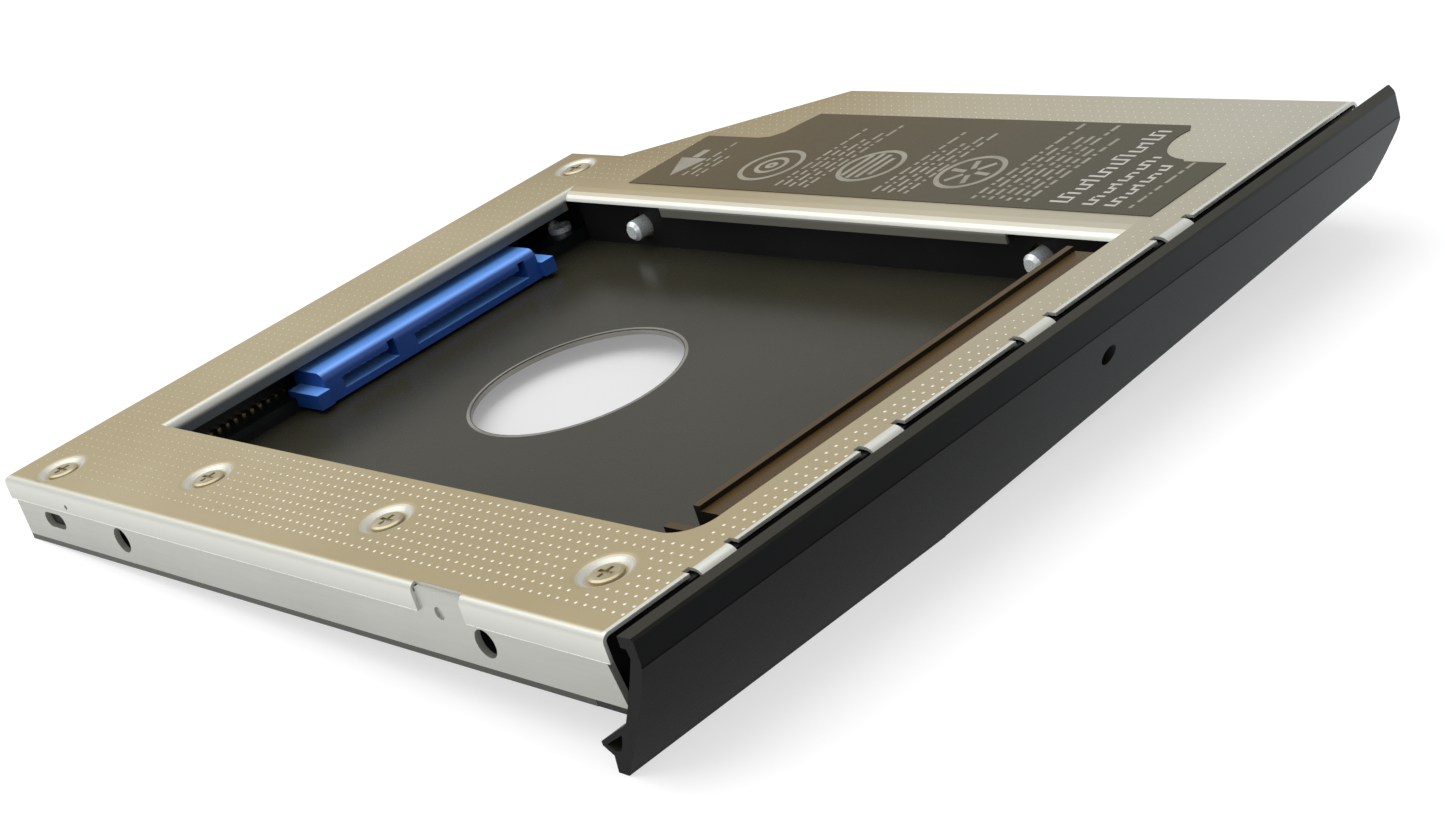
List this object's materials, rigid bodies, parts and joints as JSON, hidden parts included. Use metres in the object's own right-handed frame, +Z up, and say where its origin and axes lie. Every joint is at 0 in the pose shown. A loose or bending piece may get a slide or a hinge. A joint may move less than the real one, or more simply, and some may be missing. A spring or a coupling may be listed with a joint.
{
  "type": "optical bay drive caddy",
  "caption": "Flat metal and plastic tray with an open bay for a small drive, a blue connector, a lift-out retainer bar and a curved black front bezel.",
  "frame": {"origin": "middle of the body's underside: half-way across the side walls and half-way from the body's front edge to its rear edge, with the bezel left out", "axes": "+X to the right seen from the bezel, +Y from the bezel to the rear connector, +Z up through the cover"},
  "size_m": [0.13, 0.1329, 0.0177],
  "materials": {
    "cover": "pale tan coating with a fine grain",
    "label": "dark olive printed label",
    "cover_screw": "tan coated screws",
    "base": "dark satin coating",
    "base_screw": "black screws",
    "wall": "satin plated sheet",
    "frame_plastic": "black moulded plastic",
    "insert": "turned brass",
    "lock_screw": "bright plated steel",
    "retainer": "black plastic with a soft shine",
    "bezel": "black plastic with a fine texture",
    "board": "green circuit board",
    "board_screw": "plated steel",
    "capacitor": "ceramic",
    "receptacle": "blue moulded plastic",
    "contact": "gold plated",
    "plug": "black moulded plastic"
  },
  "bodies": {
    "body": {"top_cover": "cover", "cover_label": "label", "cover_screws": "cover_screw", "base_plate": "base", "base_screws": "base_screw", "left_wall": "wall", "right_wall": "wall", "rear_wall": "wall", "left_rail": "frame_plastic", "right_rail": "frame_plastic", "front_beam": "frame_plastic", "rear_tray": "frame_plastic", "thread_inserts": "insert", "bezel": "bezel", "adapter_board": "board", "board_screws": "board_screw", "board_capacitors": "capacitor", "sata_receptacle": "receptacle", "signal_contacts": "contact", "power_contacts": "contact", "rear_plug": "plug", "rear_plug_contacts": "contact"},
    "retainer": {"retainer_bar": "retainer"},
    "lock_left_rear": {"lock_screw_left_rear": "lock_screw"},
    "lock_left_front": {"lock_screw_left_front": "lock_screw"},
    "lock_right_rear": {"lock_screw_right_rear": "lock_screw"},
    "lock_right_front": {"lock_screw_right_front": "lock_screw"}
  },
  "joints": [
    {"name": "retainer_lift", "type": "slide", "parent": "body", "child": "retainer", "axis": [0, 0, 1], "range_m": [0, 0.012]},
    {"name": "lock_left_rear_travel", "type": "slide", "parent": "body", "child": "lock_left_rear", "axis": [1, 0, 0], "range_m": [0, 0.003]},
    {"name": "lock_left_front_travel", "type": "slide", "parent": "body", "child": "lock_left_front", "axis": [1, 0, 0], "range_m": [0, 0.003]},
    {"name": "lock_right_rear_travel", "type": "slide", "parent": "body", "child": "lock_right_rear", "axis": [-1, 0, 0], "range_m": [0, 0.003]},
    {"name": "lock_right_front_travel", "type": "slide", "parent": "body", "child": "lock_right_front", "axis": [-1, 0, 0], "range_m": [0, 0.003]}
  ]
}
